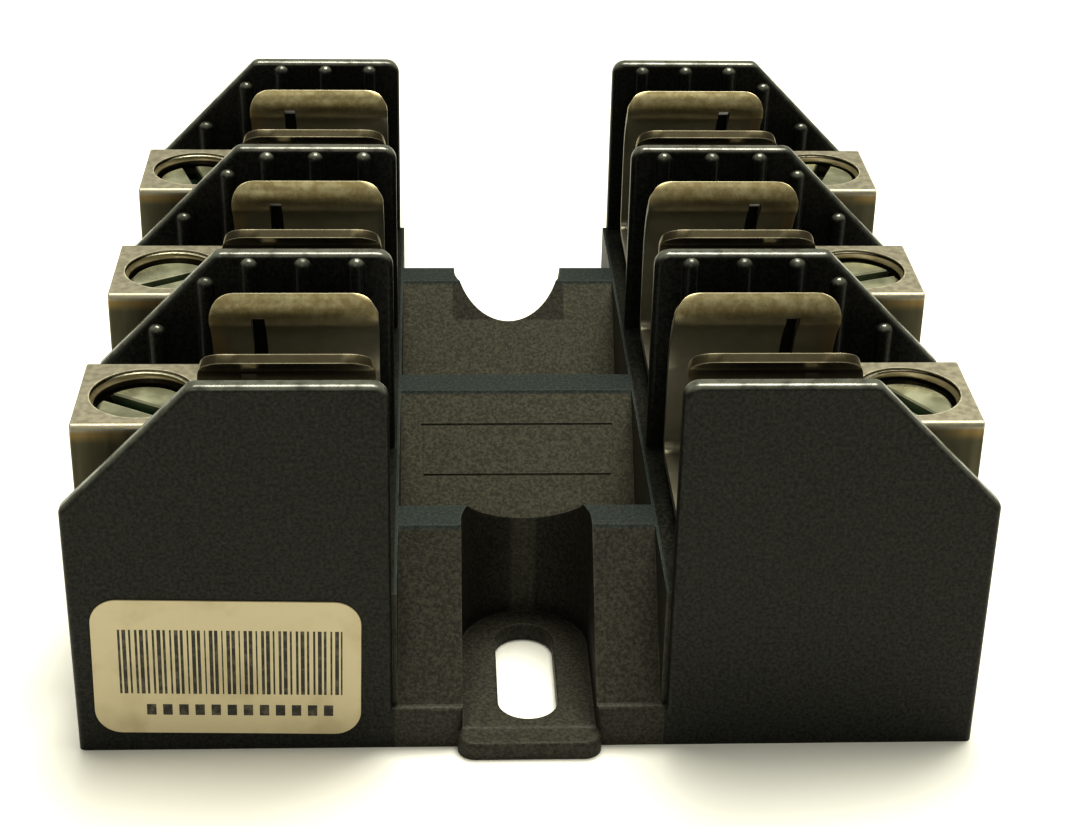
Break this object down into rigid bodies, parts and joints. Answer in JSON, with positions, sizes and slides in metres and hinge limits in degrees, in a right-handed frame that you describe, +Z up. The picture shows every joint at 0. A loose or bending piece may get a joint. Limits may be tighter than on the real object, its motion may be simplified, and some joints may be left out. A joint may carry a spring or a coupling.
{
  "type": "cartridge fuse holder",
  "caption": "Open fuse holder: black moulded base with barrier walls, facing pairs of sprung fuse clips, box lugs with slotted screws, and slotted end feet.",
  "frame": {"origin": "centre of the footprint, on the plane the base rests on", "axes": "+X along a fuse, from the left terminals to the right; +Y across the poles, from the labelled front wall to the rear; +Z up from the panel"},
  "size_m": [0.071, 0.076, 0.0322],
  "materials": {
    "moulding": "moulded thermoset, lightly textured",
    "clip": "tarnished plating",
    "spring": "spring steel",
    "lug": "extruded, dulled",
    "terminal_screw": "zinc plated",
    "clip_screw": "zinc plated",
    "label": "coated paper with printed bars"
  },
  "bodies": {
    "base": {"base_moulding": "moulding", "rating_label": "label", "fuse_clip_left_front": "clip", "fuse_clip_left_middle": "clip", "fuse_clip_left_rear": "clip", "fuse_clip_right_front": "clip", "fuse_clip_right_middle": "clip", "fuse_clip_right_rear": "clip", "reinforcing_spring_left_front": "spring", "reinforcing_spring_left_middle": "spring", "reinforcing_spring_left_rear": "spring", "reinforcing_spring_right_front": "spring", "reinforcing_spring_right_middle": "spring", "reinforcing_spring_right_rear": "spring", "box_lug_left_front": "lug", "box_lug_left_middle": "lug", "box_lug_left_rear": "lug", "box_lug_right_front": "lug", "box_lug_right_middle": "lug", "box_lug_right_rear": "lug", "clip_screw_left_front": "clip_screw", "clip_screw_left_middle": "clip_screw", "clip_screw_left_rear": "clip_screw", "clip_screw_right_front": "clip_screw", "clip_screw_right_middle": "clip_screw", "clip_screw_right_rear": "clip_screw"},
    "terminal_screw_left_front": {"terminal_screw_left_front": "terminal_screw"},
    "terminal_screw_left_middle": {"terminal_screw_left_middle": "terminal_screw"},
    "terminal_screw_left_rear": {"terminal_screw_left_rear": "terminal_screw"},
    "terminal_screw_right_front": {"terminal_screw_right_front": "terminal_screw"},
    "terminal_screw_right_middle": {"terminal_screw_right_middle": "terminal_screw"},
    "terminal_screw_right_rear": {"terminal_screw_right_rear": "terminal_screw"}
  },
  "joints": [
    {"name": "screw_travel_left_front", "type": "slide", "parent": "base", "child": "terminal_screw_left_front", "axis": [0, 0, 1], "range_m": [-0.0055, 0.0036]},
    {"name": "screw_travel_left_middle", "type": "slide", "parent": "base", "child": "terminal_screw_left_middle", "axis": [0, 0, 1], "range_m": [-0.0055, 0.0036]},
    {"name": "screw_travel_left_rear", "type": "slide", "parent": "base", "child": "terminal_screw_left_rear", "axis": [0, 0, 1], "range_m": [-0.0055, 0.0036]},
    {"name": "screw_travel_right_front", "type": "slide", "parent": "base", "child": "terminal_screw_right_front", "axis": [0, 0, 1], "range_m": [-0.0055, 0.0036]},
    {"name": "screw_travel_right_middle", "type": "slide", "parent": "base", "child": "terminal_screw_right_middle", "axis": [0, 0, 1], "range_m": [-0.0055, 0.0036]},
    {"name": "screw_travel_right_rear", "type": "slide", "parent": "base", "child": "terminal_screw_right_rear", "axis": [0, 0, 1], "range_m": [-0.0055, 0.0036]}
  ]
}
